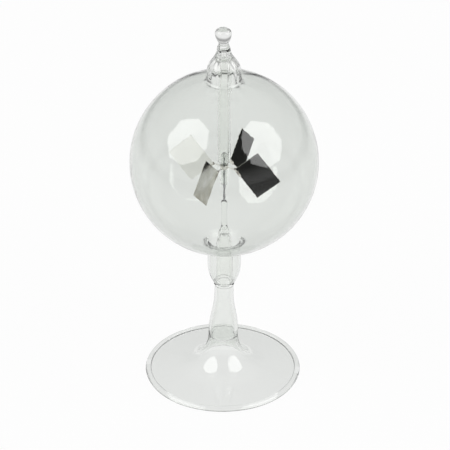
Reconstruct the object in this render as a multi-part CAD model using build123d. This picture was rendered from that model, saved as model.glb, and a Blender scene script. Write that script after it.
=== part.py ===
"""Crookes radiometer (light mill) on a blown glass stand.

A sealed glass bulb stands on a hollow neck, stem and foot. Inside it a steel needle stands up from a
glass rod and carries a glass cup, a spring band, four wire arms and four square vanes, silver on one
face and lampblack on the other. A guide tube hangs from the sealed top and keeps the cup on the needle.

Millimetres. +Z is up and the Z axis is the axis of the bulb, the needle and the rotor. The origin is
the middle of the foot, on the surface that the foot stands on. Heights are chained from the foot up,
so a change to one piece carries everything above it.
"""
import os
from math import cos, radians, sin, sqrt, tan

from build123d import *

# Foot: a flared disc with a rounded rim that is ground flat underneath
foot_radius = 40.1
foot_glass = 1.7
foot_rim_radius = 1.5
foot_ground_width = 1.4
foot_slope = 7.0
foot_flare_radius = 18.0

# Stem: a hollow tube, widening downwards into the foot
stem_top_radius = 4.9
stem_base_radius = 7.6
stem_wall = 1.4
stem_base_length = 3.4
stem_flare_length = 21.15
stem_top_length = 6.0

# Seal ring where the stem, the neck and the rod's flare are melted together
seal_ring_radius = 5.3
seal_ring_height = 1.6
seal_ring_bore = 3.3

# Neck: a cup-shaped tube under the bulb
neck_radius = 8.6
neck_foot_radius = 5.15
neck_wall = 1.1
neck_curve_height = 11.4
neck_tube_length = 12.5

# Bulb: a blown sphere
bulb_radius = 47.4
bulb_wall = 1.0

# Melted lips, where the neck and the tip run out onto the bulb
neck_lip = 2.2
neck_lip_height = 3.4
tip_lip = 1.6
tip_lip_height = 2.2
lip_edge = 0.2

# Drawn tip: the end of the pump tube, drawn in to a solid waist and on to a narrow neck
tip_tube_radius = 8.4
tip_tube_length = 5.75
tip_wall = 1.1
tip_drawn_length = 11.0
tip_waist_radius = 3.4
tip_waist_length = 4.2
tip_neck_radius = 2.4
tip_bore_length = 10.5
tip_bore_end_radius = 1.0

# Ball on the drawn tip: a melted drop, widest near its flat top
tip_ball_radius = 4.1
tip_ball_crown = 2.45
tip_ball_drop = 6.5

# Support rod with the needle melted into it, and the flare that carries the rod
rod_radius = 1.5
rod_above_flare = 15.4
rod_in_flare = 4.6
flare_lip = 0.2
flare_mouth_radius = 4.2
flare_wall = 0.9
flare_tube_length = 16.9
flare_curve_height = 16.0
needle_radius = 0.5
needle_length = 29.4
needle_in_rod = 2.5
needle_point_length = 3.0
needle_point_radius = 0.05

# Guide tube, hung from the drawn tip
guide_radius = 3.2
guide_wall = 0.75
guide_overlap = 4.9

# Bearing cup: a glass thimble, closed at the top
cup_radius = 1.65
cup_wall = 0.55
cup_length = 18.0
cup_top_glass = 0.8
cup_seat_depth = 0.9
pivot_clearance = 0.05

# Spring band and wire arms
band_thickness = 0.3
band_height = 2.0
band_below_point = 7.2
arm_radius = 0.22

# Vanes: square plates that stand on one corner
vane_count = 4
vane_side = 18.4
vane_plate = 0.2
vane_black = 0.08
vane_inner_radius = 5.9
vane_rest_azimuth = -28.5

# Clips: a strip folded over each vane's inner lower edge
clip_length = 4.6
clip_grip = 1.0
clip_wrap = 0.4
clip_strip = 0.16
clip_round = 0.3

# Heights of the joints between the pieces, worked out from the sizes above
foot_slope_angle = radians(foot_slope)
foot_rim_depth = sqrt(foot_rim_radius**2 - (foot_ground_width / 2) ** 2)
foot_rim_centre = foot_radius - foot_rim_radius
foot_flare_centre = stem_base_radius + foot_flare_radius
foot_top = (
    foot_rim_depth
    + (foot_rim_centre - foot_flare_centre) * tan(foot_slope_angle)
    + (foot_flare_radius + foot_glass / 2) / cos(foot_slope_angle)
)
stem_flare_bottom = foot_top + stem_base_length
stem_flare_top = stem_flare_bottom + stem_flare_length
stem_top = stem_flare_top + stem_top_length
seal_ring_top = stem_top + seal_ring_height
neck_curve_top = seal_ring_top + neck_curve_height
neck_top = neck_curve_top + neck_tube_length
bulb_centre = neck_top + sqrt(bulb_radius**2 - neck_radius**2)
tip_tube_bottom = bulb_centre + sqrt(bulb_radius**2 - tip_tube_radius**2)
tip_shoulder = tip_tube_bottom + tip_tube_length
tip_waist_bottom = tip_shoulder + tip_drawn_length
tip_neck_top = tip_waist_bottom + tip_waist_length
tip_bore_top = tip_shoulder + tip_bore_length
tip_ball_middle = tip_neck_top + tip_ball_drop * sqrt(1 - (tip_neck_radius / tip_ball_radius) ** 2)
neck_lip_radius = neck_radius + neck_lip
neck_lip_top = bulb_centre - sqrt(bulb_radius**2 - neck_lip_radius**2) - lip_edge
tip_lip_radius = tip_tube_radius + tip_lip
tip_lip_bottom = bulb_centre + sqrt(bulb_radius**2 - tip_lip_radius**2) + lip_edge
flare_curve_bottom = seal_ring_top + flare_tube_length
flare_top = flare_curve_bottom + flare_curve_height
rod_bottom = flare_top - rod_in_flare
rod_top = flare_top + rod_above_flare
needle_bottom = rod_top - needle_in_rod
needle_point = needle_bottom + needle_length
cup_seat = needle_point + pivot_clearance
cup_top = cup_seat + cup_top_glass
cup_bottom = cup_top - cup_length
guide_bottom = cup_top - guide_overlap
band_centre = needle_point - band_below_point
band_radius = cup_radius + band_thickness
vane_stack = vane_plate + vane_black
vane_centre_radius = vane_inner_radius + vane_side / sqrt(2)


def turned(*outline):
    """Solid of revolution about Z from a closed outline of edges in (radius, height)."""
    return revolve(Plane.XZ * make_face(outline), Axis.Z)


def drawn(low, high):
    """Outline of drawn glass: it leaves low and reaches high upright, with one S-bend between."""
    third = (high[1] - low[1]) / 3
    return Bezier(low, (low[0], low[1] + third), (high[0], high[1] - third), high)


def ball(radius):
    """Ball about the centre of the bulb."""
    return Pos(0, 0, bulb_centre) * Sphere(radius)


def glass_bulb():
    """Blown sphere with one hole at each pole, as wide as the bore of the tube that joins it there."""
    neck_hole = Pos(0, 0, bulb_centre - bulb_radius) * Cylinder(neck_radius - neck_wall, bulb_radius)
    tip_hole = Pos(0, 0, bulb_centre + bulb_radius) * Cylinder(tip_tube_radius - tip_wall, bulb_radius)
    return ball(bulb_radius) - ball(bulb_radius - bulb_wall) - neck_hole - tip_hole


def stand_foot():
    """Disc of even glass, carried up in a round flare to the stem, with a bead round its rim."""
    run_out = (sin(foot_slope_angle), cos(foot_slope_angle))

    def flare(radius):
        return CenterArc((foot_flare_centre, foot_top), radius, 180, 90 - foot_slope)

    top_arc = flare(foot_flare_radius)
    under_arc = flare(foot_flare_radius + foot_glass)
    rim_top = (
        foot_rim_centre + run_out[0] * foot_glass / 2,
        foot_rim_depth + run_out[1] * foot_glass / 2,
    )
    rim_under = (
        foot_rim_centre - run_out[0] * foot_glass / 2,
        foot_rim_depth - run_out[1] * foot_glass / 2,
    )
    disc = turned(
        top_arc,
        Line(top_arc @ 1, rim_top),
        Line(rim_top, rim_under),
        Line(rim_under, under_arc @ 1),
        under_arc,
        Line(under_arc @ 0, top_arc @ 0),
    )
    bead = Pos(0, 0, foot_rim_depth) * Torus(foot_rim_centre, foot_rim_radius)
    below = Pos(0, 0, -foot_rim_radius) * Cylinder(foot_radius * 2, foot_rim_radius * 2)
    return disc + bead - below


def stand_stem():
    """Hollow stem: upright at the foot, drawn in to the narrower tube that meets the seal ring."""

    def side(inset):
        low = (stem_base_radius - inset, foot_top)
        bend = (stem_base_radius - inset, stem_flare_bottom)
        top_bend = (stem_top_radius - inset, stem_flare_top)
        high = (stem_top_radius - inset, stem_top)
        return [Line(low, bend), drawn(bend, top_bend), Line(top_bend, high)]

    outside = side(0)
    inside = side(stem_wall)
    top = Line(outside[-1] @ 1, inside[-1] @ 1)
    bottom = Line(outside[0] @ 0, inside[0] @ 0)
    return turned(*outside, top, *inside, bottom)


def seal_ring():
    """Ring of melted glass with a round outer edge."""
    low = (seal_ring_radius - seal_ring_height / 2, stem_top)
    high = (seal_ring_radius - seal_ring_height / 2, seal_ring_top)
    middle = (seal_ring_radius, stem_top + seal_ring_height / 2)
    bore_low = (seal_ring_bore, stem_top)
    bore_high = (seal_ring_bore, seal_ring_top)
    return turned(
        Line(bore_low, low),
        ThreePointArc(low, middle, high),
        Line(high, bore_high),
        Line(bore_high, bore_low),
    )


def bulb_neck():
    """Cup-shaped neck: round below, then upright to a lip that runs out onto the bulb."""
    lip_start = neck_lip_top - neck_lip_height
    outside = [
        TangentArc((neck_radius, neck_curve_top), (neck_foot_radius, seal_ring_top), tangent=(0, -1)),
        Line((neck_radius, neck_curve_top), (neck_radius, lip_start)),
        TangentArc((neck_radius, lip_start), (neck_lip_radius, neck_lip_top), tangent=(0, 1)),
        Line((neck_lip_radius, neck_lip_top), (neck_lip_radius, bulb_centre)),
    ]
    bore = neck_radius - neck_wall
    bore_foot = neck_foot_radius - neck_wall
    inside = [
        TangentArc((bore, neck_curve_top), (bore_foot, seal_ring_top), tangent=(0, -1)),
        Line((bore, neck_curve_top), (bore, bulb_centre)),
    ]
    top = Line((bore, bulb_centre), (neck_lip_radius, bulb_centre))
    bottom = Line((bore_foot, seal_ring_top), (neck_foot_radius, seal_ring_top))
    return turned(*outside, top, *inside, bottom) - ball(bulb_radius)


def drawn_tip():
    """End of the pump tube: upright on the bulb, then drawn in twice, to a solid waist and a neck."""
    lip_end = tip_lip_bottom + tip_lip_height
    bore = tip_tube_radius - tip_wall
    outline = [
        Line((0, bulb_centre), (tip_lip_radius, bulb_centre)),
        Line((tip_lip_radius, bulb_centre), (tip_lip_radius, tip_lip_bottom)),
        TangentArc((tip_tube_radius, lip_end), (tip_lip_radius, tip_lip_bottom), tangent=(0, -1)),
        Line((tip_tube_radius, lip_end), (tip_tube_radius, tip_shoulder)),
        drawn((tip_tube_radius, tip_shoulder), (tip_waist_radius, tip_waist_bottom)),
        drawn((tip_waist_radius, tip_waist_bottom), (tip_neck_radius, tip_neck_top)),
        Line((tip_neck_radius, tip_neck_top), (0, tip_neck_top)),
        Line((0, tip_neck_top), (0, bulb_centre)),
    ]
    hollow = turned(
        Line((0, bulb_centre), (bore, bulb_centre)),
        Line((bore, bulb_centre), (bore, tip_shoulder)),
        drawn((bore, tip_shoulder), (tip_bore_end_radius, tip_bore_top)),
        Line((tip_bore_end_radius, tip_bore_top), (0, tip_bore_top)),
        Line((0, tip_bore_top), (0, bulb_centre)),
    )
    return turned(*outline) - hollow - ball(bulb_radius)


def quarter_ellipse(radius, middle, height):
    """Outline from the widest place, at the given radius, to the axis, height above it or below it."""
    pull = 4 / 3 * (sqrt(2) - 1)
    return Bezier(
        (radius, middle),
        (radius, middle + pull * height),
        (pull * radius, middle + height),
        (0, middle + height),
    )


def tip_ball():
    """Solid drop: a low crown above its widest place and a longer drop below, cut off at the neck."""
    crown = quarter_ellipse(tip_ball_radius, tip_ball_middle, tip_ball_crown)
    drop = quarter_ellipse(tip_ball_radius, tip_ball_middle, -tip_ball_drop)
    whole = turned(crown, Line(crown @ 1, drop @ 1), drop)
    below = Pos(0, 0, tip_neck_top - tip_ball_drop) * Cylinder(tip_ball_radius * 2, tip_ball_drop * 2)
    return whole - below


def guide_tube():
    """Open tube from just above the hub up to the inside of the drawn tip, which it is cut to fit."""
    height = tip_bore_top - guide_bottom
    align = (Align.CENTER, Align.CENTER, Align.MIN)
    wall = Cylinder(guide_radius, height, align=align) - Cylinder(
        guide_radius - guide_wall, height, align=align
    )
    return Pos(0, 0, guide_bottom) * wall - drawn_tip()


def rod_flare():
    """Trumpet that stands on the seal ring and closes onto the lower end of the rod."""
    mouth = flare_mouth_radius - flare_wall
    return turned(
        Line((rod_radius, rod_bottom), (rod_radius, flare_top)),
        Line((rod_radius, flare_top), (rod_radius + flare_lip, flare_top)),
        TangentArc(
            (flare_mouth_radius, flare_curve_bottom), (rod_radius + flare_lip, flare_top), tangent=(0, 1)
        ),
        Line((flare_mouth_radius, flare_curve_bottom), (flare_mouth_radius, seal_ring_top)),
        Line((flare_mouth_radius, seal_ring_top), (mouth, seal_ring_top)),
        Line((mouth, seal_ring_top), (mouth, flare_curve_bottom)),
        TangentArc((mouth, flare_curve_bottom), (rod_radius, rod_bottom), tangent=(0, 1)),
    )


def needle():
    """Steel needle with a fine conical point."""
    shoulder = needle_point - needle_point_length
    return turned(
        Line((0, needle_bottom), (needle_radius, needle_bottom)),
        Line((needle_radius, needle_bottom), (needle_radius, shoulder)),
        Line((needle_radius, shoulder), (needle_point_radius, needle_point)),
        Line((needle_point_radius, needle_point), (0, needle_point)),
        Line((0, needle_point), (0, needle_bottom)),
    )


def support_rod():
    """Solid glass rod, rounded at the top, with the needle's socket in it."""
    round_start = rod_top - (rod_radius - needle_radius)
    return turned(
        Line((0, rod_bottom), (rod_radius, rod_bottom)),
        Line((rod_radius, rod_bottom), (rod_radius, round_start)),
        TangentArc((rod_radius, round_start), (needle_radius, rod_top), tangent=(0, 1)),
        Line((needle_radius, rod_top), (needle_radius, needle_bottom)),
        Line((needle_radius, needle_bottom), (0, needle_bottom)),
        Line((0, needle_bottom), (0, rod_bottom)),
    )


def bearing_cup():
    """Glass thimble with a domed top and a conical seat for the needle's point."""
    bore = cup_radius - cup_wall
    dome_start = cup_top - cup_radius
    return turned(
        Line((bore, cup_bottom), (cup_radius, cup_bottom)),
        Line((cup_radius, cup_bottom), (cup_radius, dome_start)),
        TangentArc((cup_radius, dome_start), (0, cup_top), tangent=(0, 1)),
        Line((0, cup_top), (0, cup_seat)),
        Line((0, cup_seat), (bore, cup_seat - cup_seat_depth)),
        Line((bore, cup_seat - cup_seat_depth), (bore, cup_bottom)),
    )


def spring_band():
    """Thin metal band sprung round the cup."""
    return Pos(0, 0, band_centre) * (Cylinder(band_radius, band_height) - Cylinder(cup_radius, band_height))


def vane_layer(thickness, offset):
    """One layer of a vane, square and on its corner, in the plane of X and Z, offset along Y."""
    place = Pos(vane_centre_radius, offset, band_centre) * Rot(0, 45, 0)
    return place * Box(vane_side, thickness, vane_side)


def vane_plate_solid():
    """Silvered plate: it makes up the side of the stack that faces the way the rotor turns."""
    return vane_layer(vane_plate, (vane_stack - vane_plate) / 2)


def black_coat_solid():
    """Lampblack on the other side of the plate."""
    return vane_layer(vane_black, (vane_black - vane_stack) / 2)


def vane_clip_solid():
    """Strip folded over the vane's inner lower edge, rounded at both ends and closed round the corner."""
    corner = Plane(origin=(vane_inner_radius, 0, band_centre), x_dir=(1, 0, -1), z_dir=(0, -1, 0))
    length = clip_length + clip_wrap
    width = clip_grip + clip_wrap
    middle = Pos(length / 2 - clip_wrap, width / 2 - clip_wrap)
    strip = corner * middle * RectangleRounded(length, width, clip_round)
    folded = extrude(strip, amount=vane_stack / 2 + clip_strip, both=True)
    return folded - vane_layer(vane_stack, 0)


def arm_wire_solid():
    """Straight wire from the band to the clip, cut to fit both."""
    along = Pos(vane_inner_radius / 2, 0, band_centre) * Rot(0, 90, 0)
    wire = along * Cylinder(arm_radius, vane_inner_radius)
    inside_band = Pos(0, 0, band_centre) * Cylinder(band_radius, band_height)
    return wire - inside_band - vane_clip_solid()


def around(solid, index):
    """The given arm's copy of a piece, turned from the X axis to its place in the rotor at rest."""
    return Rot(0, 0, vane_rest_azimuth + index * 360 / vane_count) * solid


fixed_pieces = {
    "stand_foot": stand_foot(),
    "stand_stem": stand_stem(),
    "seal_ring": seal_ring(),
    "bulb_neck": bulb_neck(),
    "glass_bulb": glass_bulb(),
    "drawn_tip": drawn_tip(),
    "tip_ball": tip_ball(),
    "guide_tube": guide_tube(),
    "rod_flare": rod_flare(),
    "support_rod": support_rod(),
    "needle": needle(),
}
hub_pieces = {
    "bearing_cup": bearing_cup(),
    "spring_band": spring_band(),
}
repeated_pieces = {
    "arm_wire": arm_wire_solid(),
    "vane_clip": vane_clip_solid(),
    "vane_plate": vane_plate_solid(),
    "black_coat": black_coat_solid(),
}

os.makedirs("parts", exist_ok=True)
for name, solid in {**fixed_pieces, **hub_pieces}.items():
    export_step(solid, f"parts/{name}.step")
for name, solid in repeated_pieces.items():
    for index in range(vane_count):
        export_step(around(solid, index), f"parts/{name}_{index + 1}.step")
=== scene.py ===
"""Crookes radiometer on a blown glass stand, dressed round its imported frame.

The glass is one melted body: a closed surface turned about the Z axis, with the sealed space
inside it. The needle, plates, soot coats, clips and cup are built here; band and wires are the
frame's own nodes with a finish. Lengths are in metres, and +Z is up along the needle.
"""

import bpy
import numpy as np
from bpy.props import FloatProperty, FloatVectorProperty, IntProperty, PointerProperty
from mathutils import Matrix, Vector


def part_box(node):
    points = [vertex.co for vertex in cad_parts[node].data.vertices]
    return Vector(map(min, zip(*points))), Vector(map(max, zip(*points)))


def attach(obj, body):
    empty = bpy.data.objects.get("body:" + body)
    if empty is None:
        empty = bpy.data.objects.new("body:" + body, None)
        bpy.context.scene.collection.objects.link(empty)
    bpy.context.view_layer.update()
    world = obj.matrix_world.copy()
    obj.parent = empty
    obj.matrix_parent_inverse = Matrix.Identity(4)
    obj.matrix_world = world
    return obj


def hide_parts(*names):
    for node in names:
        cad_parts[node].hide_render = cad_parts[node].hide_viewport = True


bl_info = {
    "name": "Crookes Radiometer",
    "version": (1, 0, 0),
    "blender": (4, 5, 0),
    "location": "3D View > Sidebar > Radiometer",
    "description": "Builds the glass, the rotor and the studio of a Crookes radiometer",
    "category": "Add Mesh",
}

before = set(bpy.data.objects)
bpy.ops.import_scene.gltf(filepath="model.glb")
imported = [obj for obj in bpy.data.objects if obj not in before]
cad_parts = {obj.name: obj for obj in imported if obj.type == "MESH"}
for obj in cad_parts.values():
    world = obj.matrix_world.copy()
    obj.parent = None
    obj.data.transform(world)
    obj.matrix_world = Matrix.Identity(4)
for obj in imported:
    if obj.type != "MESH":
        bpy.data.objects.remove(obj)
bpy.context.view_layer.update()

MM = 0.001
VANES = 4
FIXED_GLASS = (
    *("stand_foot", "stand_stem", "seal_ring", "bulb_neck", "glass_bulb"),
    *("drawn_tip", "tip_ball", "guide_tube", "rod_flare", "support_rod"),
)
CLEARNESS = "clearness"

# Seeds of the random draws
OUTER_SEED, INNER_SEED, BUCKLE_SEED, PLATE_SEED, COAT_SEED = 3, 8, 40, 60, 70

# Longest step along an outline, and largest turn between two steps
GLASS_STEP, GLASS_TURN = 2.6 * MM, np.radians(5.5)
CUP_STEP, CUP_TURN = 1.5 * MM, np.radians(7)
FINE_STEP = 0.05 * MM
CUP_RINGS, NEEDLE_RINGS = 48, 32

# Gap from the cup to the band, rounding of the cup's edges, and depth of its streaks
CUP_GAP, CUP_MELT, CUP_STREAKS = 0.01 * MM, 0.1 * MM, 0.1

# Clear glass by height
CLEAR_HEIGHTS = np.array([0, 22, 30, 50, 74, 80, 169, 174, 190, 200]) * MM
CLEAR_SHARES = [0, 0, 0.45, 0.5, 0.45, 0, 0, 0.9, 0.9, 0.8]
CLEAR_INSIDE = 0.95
DRAWN_TIP_START = 180 * MM

# Ripples round the glass, their relative depth by height, and the lean of the axis by height
WAVE_COUNTS = np.array([2, 3, 5, 7, 9, 12, 16])
WAVE_DEPTHS = np.array([1.6, 1.2, 0.9, 0.8, 0.8, 0.6, 0.4])
LARGEST_TWIST = 160
RIPPLE_HEIGHTS = np.array([0, 12, 24, 48, 54, 64, 76, 84, 160, 171, 176, 186, 194, 201]) * MM
RIPPLE_SHARES = [0.5, 0.3, 0.5, 0.4, 1.2, 1.0, 0.8, 0.1, 0.1, 1.2, 2.2, 2.2, 1.0, 0.6]
LEAN_HEIGHTS = np.array([0, 20, 52, 66, 176, 201]) * MM
LEAN_SHARES = (-1, -0.7, -0.05, 0, 0)

# Ragged edge of a soot coat, and how deep the coat goes, in coats
RAGGED_WAVES = (3, 7, 13, 22, 35)
COAT_RAGGED = 0.05 * MM
COAT_DEPTH = 1.4

# Points of a clip along its arm, round its fold and along the vane, its dent and its soft edges
CLIP_ARM, CLIP_FOLD, CLIP_RUN = 13, 17, 21
CLIP_DENT, CLIP_BEVEL, SHARP_EDGE = 0.05 * MM, 0.03 * MM, np.radians(50)

GRAIN_NUMBERS = ("Film", "Patch Scale", "Grain Scale", "Roughness", "Roughness Spread")
STREAK_SCALE, STREAK_STRETCH, TINT_SCALE = 420.0, 0.12, 28.0

# Painted shade of each plate: a brightness factor that darkens some plates more than others, and a
# share of warm film that is partly tarnish and partly painted shade
PLATE_PAINTED_SHADE = (0.92, 0.92, 1.0, 0.74)
PLATE_TARNISH_AND_SHADE = (0.3, 0.3, 0.05, 1.0)

FLOOR_REACH = 12.0
LAMP_SIDES = 8
GLASS_BOUNCES, GLOSSY_BOUNCES = 32, 12


def reach(node):
    """Radius of a node of revolution, from its box."""
    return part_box(node)[1].x


def low(node):
    """Height of a node's lowest point."""
    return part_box(node)[0].z


def high(node):
    """Height of a node's highest point."""
    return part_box(node)[1].z


def number(name, description, default, **kind):
    """Property for a number."""
    return FloatProperty(name=name, description=description, default=default, **kind)


def length(name, description, millimetres):
    """Property for a length."""
    return number(name, description, millimetres * MM, unit="LENGTH", precision=5)


def share(name, description, default):
    """Property for a plain share or strength."""
    return number(name, description, default, min=0.0, precision=4)


def angle(name, description, degrees):
    """Property for an angle."""
    return number(name, description, np.radians(degrees), subtype="ANGLE")


def triple(name, description, default, **kind):
    """Property for three numbers."""
    return FloatVectorProperty(name=name, description=description, default=default, **kind)


def colour(name, description, default):
    """Property for a linear colour."""
    return triple(name, description, default, min=0.0, max=1.0, subtype="COLOR")


# Sizes and colours that a user would change


class GlassForm(bpy.types.PropertyGroup):
    """Sizes of the blown glass. Outer sizes come from the frame."""

    foot_glass: length("Foot glass", "Thickness of the foot's disc", 1.7)
    foot_slope: angle("Foot slope", "Fall of the foot's disc to the rim", 7.0)
    foot_flare: length("Foot flare", "Radius of the flare into the stem", 18.0)
    rim_radius: length("Rim bead", "Radius of the bead round the foot", 1.5)
    ground_width: length("Ground ring", "Width of the ring ground flat", 1.4)
    stem_wall: length("Stem wall", "Thickness of the stem", 1.4)
    stem_top_radius: length("Stem top", "Radius of the stem under the seal ring", 4.9)
    stem_base_length: length("Stem base", "Upright length above the foot", 3.4)
    stem_bend_length: length("Stem bend", "Length over which the stem narrows", 21.15)
    ring_bore: length("Ring bore", "Radius of the hole through the seal ring", 3.3)
    neck_foot_radius: length("Neck foot", "Radius of the neck on the seal ring", 5.15)
    neck_wall: length("Neck wall", "Thickness of the neck", 1.1)
    neck_curve_height: length("Neck curve", "Height of the neck's round part", 11.4)
    bulb_wall: length("Bulb wall", "Thickness of the bulb", 1.0)
    neck_lip: length("Neck lip", "How far the neck runs out onto the bulb", 2.2)
    neck_lip_height: length("Neck lip height", "Height of the neck's run-out", 3.4)
    tip_lip: length("Tip lip", "How far the tip runs out onto the bulb", 1.6)
    tip_lip_height: length("Tip lip height", "Height of the tip's run-out", 2.2)
    lip_edge: length("Lip edge", "Height of a run-out's edge over the bulb", 0.2)
    tip_wall: length("Tip wall", "Thickness of the tip's tube", 1.1)
    tip_tube_length: length("Tip tube", "Upright length of the tip above the bulb", 5.75)
    tip_waist_radius: length("Tip waist", "Radius where the drawn tip turns solid", 3.4)
    tip_waist_length: length("Tip waist length", "Length from the waist to the ball", 4.2)
    tip_neck_radius: length("Tip neck", "Radius of the drawn neck under the ball", 2.4)
    tip_bore_length: length("Tip bore", "Height of the bore's drawn end", 10.5)
    tip_bore_end: length("Tip bore end", "Radius of the bore's closed end", 1.0)
    ball_crown: length("Ball crown", "Height of the ball over its widest place", 2.45)
    ball_drop: length("Ball drop", "Height of the whole drop below that place", 6.5)
    flare_wall: length("Flare wall", "Thickness of the flare inside the neck", 0.9)
    flare_lip: length("Flare lip", "How far the flare stands out from the rod", 0.2)
    flare_curve: length("Flare curve", "Height of the flare's narrowing part", 16.0)
    guide_wall: length("Guide wall", "Thickness of the guide tube", 0.75)
    melt: length("Melt", "Width over which edges are rounded", 0.3)
    seam_melt: length("Seam melt", "Width over which seams are rounded", 1.0)
    ripple: length("Ripple", "Depth of the ripples in drawn glass", 0.035)
    foot_lean: length("Foot lean", "How far the foot lies off the bulb's axis", 0.8)
    ball_lean: length("Ball lean", "How far the ball lies off the bulb's axis", 0.5)
    rings: IntProperty(name="Rings", description="Faces round the glass", default=120, min=32)


class GlassFinish(bpy.types.PropertyGroup):
    """Colour and streaks of the glass."""

    tint: colour("Tint", "What a wall of the bulb or the foot lets through", (0.925, 0.94, 0.922))
    clear: colour("Clear", "What the inner tubes and the rod let through", (0.985, 0.99, 0.98))
    # The edge colour is partly the longer path through glass seen edge on, and partly painted shade
    # that darkens the flanks
    edge: colour("Edge", "What glass lets through where it is seen edge on", (0.72, 0.745, 0.72))
    streaks: share("Streaks", "Depth of the fine streaks in the glass", 0.25)


class RotorForm(bpy.types.PropertyGroup):
    """Sizes of the rotor's pieces. Their places come from the frame."""

    vane_side: length("Vane side", "Side of a square vane", 18.4)
    plate: length("Plate", "Thickness of a silver plate", 0.2)
    coat: length("Coat", "Thickness of the soot coat", 0.08)
    buckle: length("Buckle", "How far a plate is out of flat", 0.05)
    coat_margin: length("Coat margin", "Bare silver round the coat", 0.12)
    clip_length: length("Clip length", "Length of a clip along the vane's edge", 4.6)
    clip_grip: length("Clip grip", "How far a clip reaches over the vane", 1.0)
    clip_wrap: length("Clip wrap", "How far a clip stands out past the vane", 0.4)
    clip_sheet: length("Clip sheet", "Thickness of the clip's strip", 0.16)
    clip_round: length("Clip corners", "Radius of the clip's corners", 0.3)
    needle_sunk: length("Needle sunk", "How deep the needle is shown in the rod", 0.3)
    point_length: length("Needle point", "Length of the needle's tapered end", 3.0)
    point_radius: length("Needle tip", "Radius at the needle's tip", 0.05)
    rest_azimuth: angle("Rest azimuth", "Azimuth of the first vane", -28.5)
    cup_wall: length("Cup wall", "Thickness of the cup", 0.55)
    cup_top_glass: length("Cup top", "Glass above the cup's seat", 0.8)
    cup_seat: length("Cup seat", "Depth of the cup's conical seat", 0.9)


class RotorFinish(bpy.types.PropertyGroup):
    """Colours of the rotor's pieces."""

    silver: colour("Silver", "Bright face of a plate", (0.90, 0.90, 0.87))
    # The warm film colour is partly tarnish and partly painted shade: it was darkened to make some
    # plates darker
    tarnish_and_shade: colour("Tarnish", "Warm film on the silver", (0.50, 0.475, 0.38))
    soot: colour("Soot", "Black face", (0.011, 0.011, 0.010))
    speck: colour("Speck", "Thin spots in the soot", (0.16, 0.16, 0.15))
    wire: colour("Wire", "Band, wires and clips", (0.94, 0.92, 0.87))
    steel: colour("Steel", "Needle", (0.42, 0.42, 0.43))
    # Painted dark reflection: this dark brown stands in for the dark surroundings that the clips
    # reflect
    scale: colour("Scale", "Dark scale on the clips", (0.13, 0.10, 0.07))


class Studio(bpy.types.PropertyGroup):
    """Camera, floor and lights."""

    lens: number("Lens", "Focal length in mm", 240.0)
    sensor: number("Sensor", "Sensor width in mm", 36.0)
    elevation: angle("Elevation", "How far the camera looks down", 31.3)
    distance: length("Distance", "From the camera to the middle", 1500)
    middle: triple(
        "Middle", "Point in mid picture", (0.0004, -0.01652, 0.0978), subtype="TRANSLATION"
    )
    floor: share("Floor", "Brightness of the floor", 0.96)
    floor_shade: share("Floor shade", "Brightness that the glass takes up", 0.868)
    floor_far: share("Floor far off", "Brightness of the floor out of the picture", 0.36)
    floor_back: length("Floor back", "How far behind the foot the floor is brightest", 180)
    floor_near: length("Floor near", "Where the floor begins to darken", 360)
    floor_end: length("Floor end", "Where the floor is at its darkest", 1100)
    lamp: share("Lamps", "Brightness of the two lamps", 2.6)
    lamp_distance: length("Lamp distance", "From the bulb to each lamp", 3000)
    lamp_size: share("Lamp size", "Lamp radius over its distance", 0.51)
    horizon: share("Horizon", "Brightness near the floor", 0.6)
    back: share("Back", "Brightness above and behind the object", 0.42)
    front: share("Front", "Brightness above and behind the camera", 0.10)


# Outlines: arrays of (radius, height), traced with the air on the right hand


def straight(start, end, step=0.25 * MM):
    """Evenly spaced points on the line from start to end."""
    start, end = np.array(start, float), np.array(end, float)
    count = max(2, int(np.ceil(np.linalg.norm(end - start) / step)) + 1)
    return start + np.linspace(0, 1, count)[:, None] * (end - start)


def upright(radius, start, end):
    """Points of an upright line."""
    return straight((radius, start), (radius, end))


def s_bend(start, end, count=81):
    """Height moves evenly while radius follows 3t^2 - 2t^3, so that both ends are upright."""
    t = np.linspace(0, 1, count)
    blend = t * t * (3 - 2 * t)
    radius = start[0] + (end[0] - start[0]) * blend
    return np.column_stack([radius, start[1] + (end[1] - start[1]) * t])


def oval(centre, across, up, start, end, count=41):
    """Ellipse arc about centre with the given half axes, angles in degrees from the radius axis."""
    turn = np.radians(np.linspace(start, end, count))
    return np.column_stack([centre[0] + across * np.cos(turn), centre[1] + up * np.sin(turn)])


def arc(centre, radius, start, end, count=61):
    """Circle arc, in the same way."""
    return oval(centre, radius, radius, start, end, count)


def leaving_upright(start, end, count=61):
    """Circle arc that leaves start upright and reaches end: its centre lies level with start."""
    across, up = end[0] - start[0], end[1] - start[1]
    radius = (across**2 + up**2) / (2 * abs(across))
    turn = np.linspace(0, np.arctan2(abs(up), radius - abs(across)), count)
    radii = start[0] + np.sign(across) * radius * (1 - np.cos(turn))
    return np.column_stack([radii, start[1] + np.sign(up) * radius * np.sin(turn)])


def chained(*parts):
    """The parts end to end, without repeated points."""
    points = np.concatenate(parts)
    keep = np.r_[True, np.linalg.norm(np.diff(points, axis=0), axis=1) > 1e-7]
    return points[keep]


def along(points):
    """Length along an outline at each of its points."""
    return np.r_[0, np.cumsum(np.linalg.norm(np.diff(points, axis=0), axis=1))]


def resampled(points, at):
    """Points of an outline at the given lengths along it."""
    travelled = along(points)
    return np.column_stack([np.interp(at, travelled, points[:, k]) for k in range(2)])


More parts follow.
